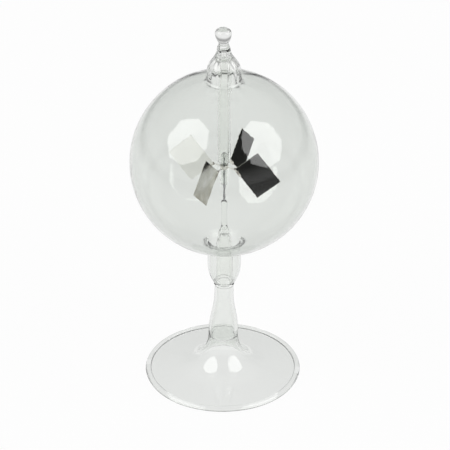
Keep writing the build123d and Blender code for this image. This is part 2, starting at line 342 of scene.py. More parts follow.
def melted(points, width, step=FINE_STEP):
    """Outline with its corners rounded, by a Gaussian mean along it.

    The line is mirrored in the axis at both ends, so that it still meets the axis squarely.
    """
    total = along(points)[-1]
    even = resampled(points, np.linspace(0, total, int(total / step)))
    mirror = np.array([-1, 1])
    reach_out = int(4 * width / step)
    before, after = even[reach_out:0:-1] * mirror, even[-2 : -reach_out - 2 : -1] * mirror
    padded = np.concatenate([before, even, after])
    offsets = np.arange(-reach_out, reach_out + 1) * step
    weights = np.exp(-0.5 * (offsets / width) ** 2)
    weights /= weights.sum()
    smooth = np.column_stack([np.convolve(padded[:, k], weights, mode="valid") for k in range(2)])
    smooth[[0, -1], 0] = 0
    return smooth


def thinned(points, longest, turn):
    """Fewer points: no step is longer than longest, or bends by more than turn."""
    travelled = along(points)
    heading = np.unwrap(np.arctan2(*np.gradient(points, axis=0).T))
    effort = np.r_[0, np.cumsum(np.diff(travelled) / longest + np.abs(np.diff(heading)) / turn)]
    wanted = np.linspace(0, effort[-1], int(effort[-1]) + 2)
    return resampled(points, np.interp(wanted, effort, travelled))


# Meshes


def linked(name, vertices, faces, material):
    """Object at the origin from points and faces."""
    mesh = bpy.data.meshes.new(name)
    mesh.from_pydata(np.asarray(vertices, float).tolist(), [], [list(map(int, f)) for f in faces])
    mesh.materials.append(material)
    made = bpy.data.objects.new(name, mesh)
    bpy.context.scene.collection.objects.link(made)
    return made


def new_piece(name, surface, material, body, slot, *nodes):
    """Smooth piece that rides on a body of the frame, in place of some of its nodes."""
    piece = linked(name, *surface, material)
    mesh = piece.data
    mesh.polygons.foreach_set("use_smooth", np.ones(len(mesh.polygons), bool))
    mesh.validate()
    mesh.update()
    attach(piece, body)
    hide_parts(*nodes)
    return piece


def round_quads(rings):
    """Faces that join each row of a grid of point numbers to the next, all the way round."""
    beside = np.roll(rings, -1, axis=1)
    corners = [rings[:-1], beside[:-1], beside[1:], rings[1:]]
    return np.stack(corners, axis=-1).reshape(-1, 4).tolist()


def still(azimuth, radius, height):
    """No push and no shift."""
    return 0 * azimuth * radius, 0 * height


def turned(outline, columns, displace=still, start=0):
    """Points and faces of a surface turned about Z from an outline that ends on the axis.

    The points are the first pole, then each inner row of the outline all the way round, then the
    last pole, numbered from start. displace gives each point's push along the surface's normal and
    the sideways shift of the axis. All the faces look at the air.
    """
    azimuth = np.arange(columns) * 2 * np.pi / columns
    radius, height = outline[1:-1, 0][:, None], outline[1:-1, 1][:, None]
    tangent = np.gradient(outline, axis=0)[1:-1]
    tangent /= np.linalg.norm(tangent, axis=1)[:, None]
    push, shift = displace(azimuth[None, :], radius, height)
    radius = radius + push * tangent[:, 1][:, None]
    height = height - push * tangent[:, 0][:, None]
    across, depth = radius * np.cos(azimuth) + shift, radius * np.sin(azimuth)
    rows = np.stack([across, depth, height], axis=-1).reshape(-1, 3)
    poles = []
    for r, h in outline[[0, -1]]:
        shift = displace(np.zeros(1), np.array([[r]]), np.array([[h]]))[1]
        poles.append([[shift.item(), 0.0, h]])
    rings = start + 1 + np.arange(push.size).reshape(push.shape)
    first, last = rings[0], rings[-1]
    first_fan = np.column_stack([np.full(columns, start), np.roll(first, -1), first])
    last_fan = np.column_stack([last, np.roll(last, -1), np.full(columns, last[-1] + 1)])
    faces = [*round_quads(rings), *first_fan.tolist(), *last_fan.tolist()]
    return np.concatenate([poles[0], rows, poles[1]]), faces


# Glass


def outer_outline(form):
    """Air side of the glass: from the rod down the bore, under the foot and up to the ball."""
    foot_top, base = high("stand_foot"), reach("stand_stem")
    rim = reach("stand_foot") - form.rim_radius
    rim_height = np.sqrt(form.rim_radius**2 - (form.ground_width / 2) ** 2)
    slope = np.degrees(form.foot_slope)
    flare = (base + form.foot_flare, foot_top)
    bite = np.degrees(np.arccos(form.foot_glass / 2 / form.rim_radius))
    ground = np.degrees(np.arcsin(rim_height / form.rim_radius))
    bend_low = foot_top + form.stem_base_length
    bend_high = bend_low + form.stem_bend_length
    stem_top, ring_top = high("stand_stem"), high("seal_ring")
    bore_base, bore_top = base - form.stem_wall, form.stem_top_radius - form.stem_wall
    mouth = reach("rod_flare") - form.flare_wall
    flare_bend = high("rod_flare") - form.flare_curve
    ring_round = (ring_top - stem_top) / 2
    neck = reach("bulb_neck") - form.neck_lip
    neck_bend = ring_top + form.neck_curve_height
    neck_lip = (reach("bulb_neck"), on_bulb(form, reach("bulb_neck"), -1) - form.lip_edge)
    tube = reach("drawn_tip") - form.tip_lip
    tip_lip = (reach("drawn_tip"), on_bulb(form, reach("drawn_tip"), 1) + form.lip_edge)
    shoulder = on_bulb(form, tube, 1) + form.tip_tube_length
    waist = (form.tip_waist_radius, high("drawn_tip") - form.tip_waist_length)
    ball = reach("tip_ball")
    ball_middle = high("tip_ball") - form.ball_crown
    neck_end, tube_start = neck_lip[1] - form.neck_lip_height, tip_lip[1] + form.tip_lip_height
    ball_cut = np.degrees(np.arccos(form.tip_neck_radius / ball))
    lips = [np.degrees(np.arcsin(lip[0] / reach("glass_bulb"))) for lip in (neck_lip, tip_lip)]
    return chained(
        straight((0, low("support_rod")), (reach("support_rod"), low("support_rod"))),
        leaving_upright((mouth, flare_bend), (reach("support_rod"), low("support_rod")))[::-1],
        upright(mouth, flare_bend, ring_top),
        upright(form.ring_bore, ring_top, stem_top),
        upright(bore_top, stem_top, bend_high),
        s_bend((bore_top, bend_high), (bore_base, bend_low)),
        upright(bore_base, bend_low, foot_top),
        arc(flare, form.foot_flare + form.foot_glass, 180, 270 - slope),
        arc((rim, rim_height), form.rim_radius, 270 - slope - bite, 180 + ground),
        arc((rim, rim_height), form.rim_radius, -ground, 90 - slope + bite),
        arc(flare, form.foot_flare, 270 - slope, 180),
        upright(base, foot_top, bend_low),
        s_bend((base, bend_low), (form.stem_top_radius, bend_high)),
        upright(form.stem_top_radius, bend_high, stem_top),
        arc((reach("seal_ring") - ring_round, stem_top + ring_round), ring_round, -75, 75),
        leaving_upright((neck, neck_bend), (form.neck_foot_radius, ring_top))[::-1],
        upright(neck, neck_bend, neck_end),
        leaving_upright((neck, neck_end), neck_lip),
        arc((0, bulb_centre(form)), reach("glass_bulb"), lips[0] - 90, 90 - lips[1], 721),
        leaving_upright((tube, tube_start), tip_lip)[::-1],
        upright(tube, tube_start, shoulder),
        s_bend((tube, shoulder), waist),
        s_bend(waist, (form.tip_neck_radius, high("drawn_tip"))),
        oval((0, ball_middle), ball, form.ball_drop, -ball_cut, 0),
        oval((0, ball_middle), ball, form.ball_crown, 0, 90),
    )


def bulb_centre(form):
    """Height of the bulb's centre, from the edge of the hole over the neck."""
    bore = reach("bulb_neck") - form.neck_lip - form.neck_wall
    return low("glass_bulb") + np.sqrt(reach("glass_bulb") ** 2 - bore**2)


def on_bulb(form, radius, side):
    """Height of the bulb's outside at a radius, on top for side 1 and below for -1."""
    return bulb_centre(form) + side * np.sqrt(reach("glass_bulb") ** 2 - radius**2)


def inner_outline(form):
    """Vacuum side of the glass: tip's bore, guide tube, bulb, neck, flare and rod."""
    bulb_radius, bulb_height = reach("glass_bulb") - form.bulb_wall, bulb_centre(form)
    tube = reach("drawn_tip") - form.tip_lip
    tip_bore = tube - form.tip_wall
    shoulder = on_bulb(form, tube, 1) + form.tip_tube_length
    bend = s_bend((tip_bore, shoulder), (form.tip_bore_end, shoulder + form.tip_bore_length), 401)
    guide, guide_bore = reach("guide_tube"), reach("guide_tube") - form.guide_wall
    neck_bore = reach("bulb_neck") - form.neck_lip - form.neck_wall
    neck_foot = form.neck_foot_radius - form.neck_wall
    ring_top = high("seal_ring")
    neck_bend = ring_top + form.neck_curve_height
    flare, flare_top = reach("rod_flare"), high("rod_flare")
    flare_bend = flare_top - form.flare_curve
    rod, rod_top = reach("support_rod"), high("support_rod")
    rod_round = rod - reach("needle")
    inside = bend[bend[:, 0] <= guide_bore][::-1]
    outside = bend[bend[:, 0] >= guide][::-1]
    holes = [np.degrees(np.arccos(r / bulb_radius)) for r in (tip_bore, neck_bore)]
    pocket = leaving_upright((neck_bore, neck_bend), (neck_foot, ring_top))
    pocket = pocket[pocket[:, 0] > flare + form.melt]
    bulb_end = bulb_height - bulb_radius * np.sin(np.radians(holes[1]))
    return chained(
        straight((0, inside[0][1]), inside[0]),
        inside,
        upright(guide_bore, inside[-1][1], low("guide_tube")),
        upright(guide, low("guide_tube"), outside[0][1]),
        outside,
        arc((0, bulb_height), bulb_radius, holes[0], -holes[1], 721),
        upright(neck_bore, bulb_end, neck_bend),
        pocket,
        upright(flare, pocket[-1][1], flare_bend),
        leaving_upright((flare, flare_bend), (rod + form.flare_lip, flare_top)),
        upright(rod, flare_top, rod_top - rod_round),
        arc((rod - rod_round, rod_top - rod_round), rod_round, 0, 90),
        straight((rod - rod_round, rod_top), (0, rod_top)),
    )


def seamed(points, form):
    """Outline with its edges rounded, more widely at the seams of neck, tip and ring.

    The two roundings are mixed by height: the share of the wider one is the sum of bumps
    exp(-(d / w)^4), with d the distance in height from each seam, held between two radii.
    """
    fine, wide = melted(points, form.melt), melted(points, form.seam_melt)
    height, radius = fine[:, 1], fine[:, 0]
    seams = (
        (on_bulb(form, reach("bulb_neck"), -1), 4.0 * MM, 0, 20 * MM),
        (on_bulb(form, reach("drawn_tip"), 1), 3.0 * MM, 5 * MM, 20 * MM),
        ((high("stand_stem") + high("seal_ring")) / 2, 4.5 * MM, 0, form.stem_top_radius),
    )
    share_wide = sum(
        np.exp(-(((height - middle) / width) ** 4)) * (radius >= nearest) * (radius < furthest)
        for middle, width, nearest, furthest in seams
    )
    return fine + np.clip(share_wide, 0, 1)[:, None] * (wide - fine)


def clear_share(vertices):
    """Share of clear glass: none on the bulb and the foot, some on the tubes, most inside."""
    radius, height = np.hypot(vertices[:, 0], vertices[:, 1]), vertices[:, 2]
    by_height = np.interp(height, CLEAR_HEIGHTS, CLEAR_SHARES)
    tube = (radius < reach("guide_tube") * 1.05) & (height > low("guide_tube") - MM)
    tube &= height < DRAWN_TIP_START
    rod = (radius < reach("rod_flare") * 1.05) & (height > high("seal_ring"))
    rod &= height < high("support_rod")
    return np.where(tube | rod, CLEAR_INSIDE, by_height).astype(np.float32)


def blown(form, seed):
    """Unevenness of blown and drawn glass, as a displacement for turned().

    The push is a sum of waves round the axis, each with its count, depth and slow twist with
    height. The shift bends the axis towards the foot and the ball, and is none at the rotor.
    """
    draw = np.random.default_rng(seed)
    depths = draw.uniform(0.4, 1.0, len(WAVE_COUNTS)) * WAVE_DEPTHS
    phases = draw.uniform(0, 2 * np.pi, len(WAVE_COUNTS))
    twists = draw.uniform(-LARGEST_TWIST, LARGEST_TWIST, len(WAVE_COUNTS))
    lean = [*(part * form.foot_lean for part in LEAN_SHARES), -form.ball_lean]

    def displace(azimuth, radius, height):
        waves = sum(
            depth * np.sin(count * azimuth + phase + twist * height)
            for count, depth, phase, twist in zip(WAVE_COUNTS, depths, phases, twists)
        )
        near_axis = np.clip(radius / (3 * MM), 0, 1)
        push = form.ripple * waves * np.interp(height, RIPPLE_HEIGHTS, RIPPLE_SHARES) * near_axis
        return push, np.interp(height, LEAN_HEIGHTS, lean)

    return displace


class RADIOMETER_OT_glass_envelope(bpy.types.Operator):
    """Build the melted glass body, from the foot to the ball, with what is melted on inside"""

    bl_idname = "radiometer.glass_envelope"
    bl_label = "Glass envelope"

    def execute(self, context):
        form, finish = context.scene.glass_form, context.scene.glass_finish
        air, vacuum = (
            thinned(seamed(outline(form), form), GLASS_STEP, GLASS_TURN)
            for outline in (outer_outline, inner_outline)
        )
        outside, faces = turned(air, form.rings, blown(form, OUTER_SEED))
        inside, more = turned(vacuum, form.rings, blown(form, INNER_SEED), len(outside))
        points = np.concatenate([outside, inside])
        points[:, 2] = np.maximum(points[:, 2], 0)
        glass = glass_material("blown_glass", finish, finish.streaks)
        surface = points, faces + more
        piece = new_piece("glass_envelope", surface, glass, "stand", "clear_glass", *FIXED_GLASS)
        clearness = piece.data.attributes.new(CLEARNESS, "FLOAT", "POINT")
        clearness.data.foreach_set("value", clear_share(points))
        return {"FINISHED"}


class RADIOMETER_OT_cup(bpy.types.Operator):
    """Build the glass cup that rests on the needle's point"""

    bl_idname = "radiometer.cup"
    bl_label = "Bearing cup"

    def execute(self, context):
        form, finish = context.scene.rotor_form, context.scene.glass_finish
        outside, bottom = reach("bearing_cup") - CUP_GAP, low("bearing_cup")
        top = high("bearing_cup")
        bore, seat = outside - form.cup_wall, top - form.cup_top_glass
        outline = chained(
            straight((0, seat), (bore, seat - form.cup_seat), FINE_STEP),
            upright(bore, seat - form.cup_seat, bottom),
            straight((bore, bottom), (outside, bottom), FINE_STEP),
            upright(outside, bottom, top - outside),
            arc((0, top - outside), outside, 0, 90),
        )
        line = thinned(melted(outline, CUP_MELT), CUP_STEP, CUP_TURN)
        glass = glass_material("cup_glass", finish, CUP_STREAKS)
        surface = turned(line, CUP_RINGS)
        new_piece("cup_glass", surface, glass, "rotor", "clear_glass", "bearing_cup")
        return {"FINISHED"}


# Vanes and clips


def vane_frame(form, index):
    """A vane's inner corner, the directions of its two inner edges, and that to its silver side."""
    lows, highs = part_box(f"vane_plate_{index + 1}")
    azimuth = form.rest_azimuth + index * 2 * np.pi / VANES
    outward = np.array([np.cos(azimuth), np.sin(azimuth), 0])
    across = np.array([-np.sin(azimuth), np.cos(azimuth), 0])
    up = np.array([0, 0, 1.0])
    centre = np.array((lows + highs) / 2)
    centre -= across * (centre @ across)
    corner = centre - outward * form.vane_side / np.sqrt(2)
    return corner, (outward - up) / np.sqrt(2), (outward + up) / np.sqrt(2), across


def buckled(p, q, form, index):
    """How far a vane is out of flat at p, q: shallow waves that fade to none at the clip."""
    draw = np.random.default_rng(BUCKLE_SEED + index)
    a, b, c = draw.uniform(0, 2 * np.pi, 3)
    u, v = p / form.vane_side, q / form.vane_side
    waves = np.sin(2.1 * u + 1.3 * v + a) + 0.6 * np.sin(3.9 * v - 1.7 * u + b)
    waves = waves + 0.3 * np.sin(7 * u + 5 * v + c)
    hold = 1 - np.exp(-((u**2 + v**2) / 0.08))
    return form.buckle * waves * hold


def vane_piece(name, index, surface, material, slot, replaced):
    """Piece of a vane, numbered like the node that it replaces."""
    number = f"_{index + 1}"
    return new_piece(name + number, surface, material, "rotor", slot, replaced + number)


def slab_grid(side, inset, edge, count=56):
    """Lines across a square slab, close together over the rounded edge."""
    steps = np.sin(np.linspace(0, np.pi / 2, 5)) ** 2 * edge
    low_side = inset + steps
    middle = np.linspace(low_side[-1], side - low_side[-1], count)[1:-1]
    return np.r_[low_side, middle, side - low_side[::-1]]


def slab(form, index, back, front, margin, ragged, seed):
    """Thin square slab between two offsets across the vane.

    The two faces are the mean offset plus and minus half the thickness, which falls to none on the
    outline as sqrt(1 - (1 - d)^2), d being the distance in from the outline over the edge's radius.
    The faces share the outline's points. The outline moves in by ragged times a sum of waves.
    """
    corner, down, rise, across = vane_frame(form, index)
    half = (front - back) / 2
    lines = slab_grid(form.vane_side, margin, half)
    p, q = np.meshgrid(lines, lines, indexing="ij")
    inner, outer = lines[0], lines[-1]
    distance = np.minimum.reduce([p - inner, outer - p, q - inner, outer - q])
    height = half * np.sqrt(np.clip(1 - (1 - np.clip(distance / half, 0, 1)) ** 2, 0, 1))
    draw = np.random.default_rng(seed)
    phase = draw.uniform(0, 2 * np.pi, (2, len(RAGGED_WAVES)))

    def uneven(x, k):
        turn = x / form.vane_side * 2 * np.pi
        return sum(np.sin(n * turn + phase[k, i]) / (i + 2) for i, n in enumerate(RAGGED_WAVES))

    def drawn_in(x, pull):
        return x - np.sign(x - middle) * pull * (np.abs(x - middle) / middle) ** 8

    middle = form.vane_side / 2
    pull = ragged * (1.5 + np.stack([uneven(q, 0), uneven(p, 1)]))
    p, q = drawn_in(p, pull[0]), drawn_in(q, pull[1])
    flat = corner + p[..., None] * down + q[..., None] * rise
    offset = (front + back) / 2 + buckled(p, q, form, index)
    count = len(lines)
    top = flat + (offset + height)[..., None] * across
    bottom = flat + (offset - height)[..., None] * across
    inside = np.zeros((count, count), bool)
    inside[1:-1, 1:-1] = True
    upper = np.arange(count * count).reshape(count, count)
    lower = upper.copy()
    lower[inside] = count * count + np.arange(inside.sum())
    vertices = np.concatenate([top.reshape(-1, 3), bottom[inside]])

    def quads(grid):
        corners = [grid[:-1, :-1], grid[1:, :-1], grid[1:, 1:], grid[:-1, 1:]]
        return np.stack(corners, axis=-1).reshape(-1, 4)

    # down x rise points away from across, so the upper face runs the other way round
    return vertices, [*quads(upper)[:, ::-1].tolist(), *quads(lower).tolist()]


class RADIOMETER_OT_silver_plates(bpy.types.Operator):
    """Build the four silvered plates"""

    bl_idname = "radiometer.silver_plates"
    bl_label = "Silver plates"

    def execute(self, context):
        form, finish = context.scene.rotor_form, context.scene.rotor_finish
        half = (form.plate + form.coat) / 2
        for index in range(VANES):
            surface = slab(form, index, half - form.plate, half, 0, 0.0, PLATE_SEED + index)
            silver = silver_material(f"silver_{index + 1}", finish, index)
            vane_piece("silver_plate", index, surface, silver, "vane_silver", "vane_plate")
        return {"FINISHED"}


class RADIOMETER_OT_soot_coats(bpy.types.Operator):
    """Build the four coats of lampblack"""

    bl_idname = "radiometer.soot_coats"
    bl_label = "Soot coats"

    def execute(self, context):
        form, finish = context.scene.rotor_form, context.scene.rotor_finish
        half = (form.plate + form.coat) / 2
        front = -half + form.coat * COAT_DEPTH
        material = soot_material("lampblack_soot", finish)
        for index in range(VANES):
            seed, margin = COAT_SEED + index, form.coat_margin
            surface = slab(form, index, -half, front, margin, COAT_RAGGED, seed)
            vane_piece("soot_coat", index, surface, material, "lampblack", "black_coat")
        return {"FINISHED"}


def clip_mesh(form, index):
    """Strip folded in a U over the vane's lower inner edge.

    Its two skins lie half its thickness either side of the U's middle line. It is swept along the
    edge, drawn in at the corners by r - sqrt(r^2 - x^2), and pinched where it was pressed.
    """
    corner, down, rise, across = vane_frame(form, index)
    half = form.clip_sheet / 2
    middle = (form.plate + form.coat) / 2 + half
    fold = -form.clip_wrap + middle + half
    arm = np.linspace(form.clip_grip, fold, CLIP_ARM)
    turn = np.linspace(0, np.pi, CLIP_FOLD)[1:-1]
    bend = np.column_stack([-np.sin(turn), np.cos(turn)])
    upper, lower = (np.tile([0.0, way], (CLIP_ARM, 1)) for way in (1.0, -1.0))
    outward = np.concatenate([upper, bend, lower])
    along_u = np.concatenate([arm, np.full(len(turn), fold), arm[::-1]])
    line = np.column_stack([along_u, np.zeros(len(along_u))]) + outward * middle
    skins = np.concatenate([line + outward * half, (line - outward * half)[::-1]])
    past = np.clip(skins[:, 0] - (form.clip_grip - form.clip_round), 0, form.clip_round)
    inset = form.clip_round - np.sqrt(form.clip_round**2 - past**2)
    start, end = -form.clip_wrap + inset, form.clip_length - inset
    run = start + np.linspace(0, 1, CLIP_RUN)[:, None] * (end - start)
    press = CLIP_DENT * np.exp(-(((run - form.clip_length * 0.55) / (0.5 * MM)) ** 2))
    press = press * np.exp(-(((skins[:, 0] - form.clip_grip * 0.45) / (0.35 * MM)) ** 2))
    deep = skins[:, 1] - press * np.sign(skins[:, 1])
    points = corner + run[..., None] * down + skins[:, 0, None] * rise + deep[..., None] * across
    rows, loop = run.shape
    first = np.arange(len(line) - 1)
    facing = loop - 1 - first
    cap = np.stack([first, first + 1, facing - 1, facing], axis=-1)
    caps = np.concatenate([cap[:, ::-1], cap + (rows - 1) * loop])
    sides = round_quads(np.arange(rows * loop).reshape(rows, loop))
    return points.reshape(-1, 3), [*sides, *caps.tolist()]


class RADIOMETER_OT_clips(bpy.types.Operator):
    """Build the four clips folded over the vanes' edges"""

    bl_idname = "radiometer.clips"
    bl_label = "Folded clips"

    def execute(self, context):
        form, finish = context.scene.rotor_form, context.scene.rotor_finish
        # The clips take the dark scale colour as a film at a share of 0.9: a painted dark
        # reflection over the bright wire colour
        material = drawn_metal("clip_strip", finish.wire, 0.16, finish.scale, 0.9)
        for index in range(VANES):
            surface = clip_mesh(form, index)
            piece = vane_piece("folded_clip", index, surface, material, "arm_metal", "vane_clip")
            soften = piece.modifiers.new("soft_edges", "BEVEL")
            soften.width = CLIP_BEVEL
            soften.segments = 2
            soften.limit_method = "ANGLE"
            soften.angle_limit = SHARP_EDGE
        return {"FINISHED"}


class RADIOMETER_OT_needle(bpy.types.Operator):
    """Build the needle, down to where it enters the rod"""

    bl_idname = "radiometer.needle"
    bl_label = "Needle"

    def execute(self, context):
        form, finish = context.scene.rotor_form, context.scene.rotor_finish
        side, point = reach("needle"), high("needle")
        foot = high("support_rod") - form.needle_sunk
        outline = chained(
            straight((0, point), (form.point_radius, point), 0.02 * MM),
            straight((form.point_radius, point), (side, point - form.point_length)),
            upright(side, point - form.point_length, foot),
            straight((side, foot), (0, foot), 0.1 * MM),
        )
        points, faces = turned(outline, NEEDLE_RINGS)
        surface = points, [face[::-1] for face in faces]
        steel = drawn_metal("needle_steel_worn", finish.steel, 0.24)
        new_piece("steel_needle", surface, steel, "stand", "needle_steel", "needle")
        return {"FINISHED"}


class RADIOMETER_OT_metal_parts(bpy.types.Operator):
    """Finish the frame's own spring band and wires"""

    bl_idname = "radiometer.metal_parts"
    bl_label = "Band and wires"

    def execute(self, context):
        wire = drawn_metal("arm_wire_metal", context.scene.rotor_finish.wire, 0.4)
        for name in ("spring_band", *(f"arm_wire_{index + 1}" for index in range(VANES))):
            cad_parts[name].material_slots[0].material = wire
        return {"FINISHED"}


# Materials: a node's output is passed on as it is, and a plain value is set


def feed(made, inputs):
    """Sets or links a node's inputs, by socket name or number."""
    for socket, given in inputs.items():
        if isinstance(given, bpy.types.NodeSocket):
            made.id_data.links.new(given, made.inputs[socket])
        else:
            made.inputs[socket].default_value = given


def node(tree, kind, inputs=None, **settings):
    """Adds a node with its settings and inputs."""
    made = tree.nodes.new(kind)
    for key, value in settings.items():
        setattr(made, key, value)
    feed(made, inputs or {})
    return made


def place_in(tree):
    """Output: Object coordinates."""
    return node(tree, "ShaderNodeTexCoord").outputs["Object"]


def maths(tree, operation, *values, clamp=False):
    """Output: a sum on numbers."""
    inputs = dict(enumerate(values))
    return node(tree, "ShaderNodeMath", inputs, operation=operation, use_clamp=clamp).outputs[0]


def ramped(tree, value, start, end, first=0.0, last=1.0, kind="LINEAR"):
    """Output: first up to start, last from end on, and a ramp between."""
    inputs = dict(enumerate((value, start, end, first, last)))
    return node(tree, "ShaderNodeMapRange", inputs, interpolation_type=kind).outputs[0]


def noise(tree, place, scale, detail, roughness=0.5):
    """Output: a noise pattern."""
    inputs = {"Vector": place, "Scale": scale, "Detail": detail, "Roughness": roughness}
    return node(tree, "ShaderNodeTexNoise", inputs).outputs[0]


def mixed(tree, part, first, second, kind="RGBA"):
    """Output: a colour, or for FLOAT a number, between two."""
    start, out = {"RGBA": (6, 2), "FLOAT": (2, 0)}[kind]
    inputs = {0: part, start: first, start + 1: second}
    return node(tree, "ShaderNodeMix", inputs, data_type=kind).outputs[out]


def new_group(name, inputs, outputs):
    """Shader node group, its inputs and its output node, from names by kind of socket."""
    tree = bpy.data.node_groups.new(name, "ShaderNodeTree")
    for way, kinds in (("INPUT", inputs), ("OUTPUT", outputs)):
        for kind, titles in kinds.items():
            for title in titles:
                tree.interface.new_socket(name=title, in_out=way, socket_type="NodeSocket" + kind)
    return tree, node(tree, "NodeGroupInput").outputs, node(tree, "NodeGroupOutput")


def group_of(build):
    """The node group that a function builds, built once."""
    name = build.__name__
    return bpy.data.node_groups.get(name) or build(name)


def surface_grain(name):
    """Group: uneven colour, roughness and height from two sizes of noise."""
    inputs = {"Color": ("Colour", "Film Colour"), "Float": GRAIN_NUMBERS}
    outputs = {"Color": ("Colour",), "Float": ("Roughness", "Height")}
    tree, given, out = new_group(name, inputs, outputs)
    place, spread = place_in(tree), given["Roughness Spread"]
    patch = noise(tree, place, given["Patch Scale"], 3.0, 0.55)
    grain = noise(tree, place, given["Grain Scale"], 2.0, 0.6)
    film = maths(tree, "MULTIPLY", ramped(tree, patch, 0.35, 0.7), given["Film"], clamp=True)
    centred = maths(tree, "SUBTRACT", grain, 0.5)
    rough = maths(tree, "MULTIPLY_ADD", centred, spread, given["Roughness"], clamp=True)
    rougher = maths(tree, "MULTIPLY_ADD", film, spread, rough, clamp=True)
    filmed = mixed(tree, film, given["Colour"], given["Film Colour"])
    feed(out, {"Colour": filmed, "Roughness": rougher, "Height": grain})
    return tree


def drawn_streaks(name):
    """Group: lengthwise streaks of drawn glass, and a faint uneven tint."""
    outputs = {"Color": ("Tint",), "Float": ("Height",)}
    tree, given, out = new_group(name, {"Color": ("Tint", "Deep Tint")}, outputs)
    place = place_in(tree)
    x, y, z = node(tree, "ShaderNodeSeparateXYZ", {0: place}).outputs
    squeezed = maths(tree, "MULTIPLY", z, STREAK_STRETCH)
    stretched = node(tree, "ShaderNodeCombineXYZ", {0: x, 1: y, 2: squeezed}).outputs[0]
    streak = noise(tree, stretched, STREAK_SCALE, 2.0)
    tint = mixed(tree, noise(tree, place, TINT_SCALE, 1.0), given["Tint"], given["Deep Tint"])
    feed(out, {"Tint": tint, "Height": streak})
    return tree


def new_material(name):
    """Material with a Principled BSDF, its tree and that node."""
    material = bpy.data.materials.new(name)
    material.use_nodes = True
    return material, material.node_tree, material.node_tree.nodes["Principled BSDF"]


def rgba(value, factor=1.0):
    """Colour as four numbers."""
    return (*(min(1.0, c * factor) for c in value), 1.0)


def bumped(tree, shader, height, distance, strength):
    """Feeds a height through a Bump node to a shader's normal."""
    inputs = {"Height": height, "Distance": distance, "Strength": strength}
    feed(shader, {"Normal": node(tree, "ShaderNodeBump", inputs).outputs[0]})


def glass_material(name, finish, streaks):
    """Clear glass with a faint tint and lengthwise streaks. The tint deepens where the glass is
    seen edge on: partly the longer path through the wall, partly painted shade that darkens the
    flanks.
    """
    material, tree, shader = new_material(name)
    feed(shader, {"Transmission Weight": 1.0, "IOR": 1.5, "Roughness": 0.0})
    tints = {"Tint": rgba(finish.tint, 1.008), "Deep Tint": rgba(finish.tint, 0.992)}
    glass = node(tree, "ShaderNodeGroup", tints, node_tree=group_of(drawn_streaks)).outputs
    clearness = node(tree, "ShaderNodeAttribute", attribute_name=CLEARNESS).outputs["Fac"]
    facing = node(tree, "ShaderNodeLayerWeight", {"Blend": 0.5}).outputs["Facing"]
    # Share of the edge colour: partly the path through the wall, partly painted shade on the flanks
    edge_tint_and_shade = maths(tree, "POWER", facing, 2.0)
    cleared = mixed(tree, clearness, glass["Tint"], rgba(finish.clear))
    feed(shader, {"Base Color": mixed(tree, edge_tint_and_shade, cleared, rgba(finish.edge))})
    bumped(tree, shader, glass["Height"], 0.1 * MM, streaks)
    return material


def grained(name, base, film_colour, film, scales, roughness, spread, height, metallic=1.0):
    """Material from the grain group, with its tree, its shader and the group's colour."""
    material, tree, shader = new_material(name)
    given = {"Colour": rgba(base), "Film Colour": rgba(film_colour)}
    given.update(zip(GRAIN_NUMBERS, (film, *scales, roughness, spread)))
    group = node(tree, "ShaderNodeGroup", given, node_tree=group_of(surface_grain)).outputs
    feed(shader, {"Base Color": group["Colour"], "Roughness": group["Roughness"]})
    feed(shader, {"Metallic": metallic})
    bumped(tree, shader, group["Height"], height, 0.4)
    return material, tree, shader, group["Colour"]


def drawn_metal(name, base, roughness, film_colour=None, film=0.5):
    """Bright drawn metal, a little worn, with a film of darker metal unless one is given."""
    film_colour = film_colour or [c * 0.72 for c in base]
    scales = (700.0, 9000.0)
    return grained(name, base, film_colour, film, scales, roughness, 0.12, 0.01 * MM)[0]


def silver_material(name, finish, index):
    """Silvered face with a warm film that differs from plate to plate, partly tarnish and partly
    painted shade. A painted shade factor also darkens some plates more than others.
    """
    # Each plate's silver and film are darkened by its painted shade factor, and its film share is
    # partly tarnish and partly painted shade
    painted_plate_shade, film = PLATE_PAINTED_SHADE[index], PLATE_TARNISH_AND_SHADE[index]
    silver = [c * painted_plate_shade for c in finish.silver]
    tarnish_and_shade = [c * painted_plate_shade for c in finish.tarnish_and_shade]
    return grained(name, silver, tarnish_and_shade, film, (90.0, 3000.0), 0.1, 0.1, 0.004 * MM)[0]


def soot_material(name, finish):
    """Lampblack: near black and rough, with a few thin spots that show the silver through."""
    film = [c * 1.6 for c in finish.soot]
    material, tree, shader, black = grained(
        name, finish.soot, film, 0.8, (260.0, 6000.0), 0.95, 0.05, 0.03 * MM, 0.0
    )
    place = place_in(tree)
    dots = {"Vector": place, "Scale": 420.0, "Randomness": 1.0}
    near = ramped(tree, node(tree, "ShaderNodeTexVoronoi", dots).outputs[0], 0.10, 0.03)
    often = ramped(tree, noise(tree, place, 210.0, 0.0), 0.60, 0.64)
    thin = maths(tree, "MULTIPLY", near, often, clamp=True)
    spotted = mixed(tree, thin, black, rgba(finish.speck))
    feed(shader, {"Base Color": spotted, "Specular IOR Level": 0.0})
    return material


# Stage


def lit_material(name, tint, strength, diffuse=0.0):
    """Plain surface that gives its own light, and a little of what falls on it."""
    material, _, shader = new_material(name)
    values = {
        "Base Color": (diffuse, diffuse, diffuse, 1),
        "Roughness": 1.0,
        "Specular IOR Level": 0.0,
        "Emission Color": (*tint, 1),
        "Emission Strength": strength,
    }
    feed(shader, values)
    return material


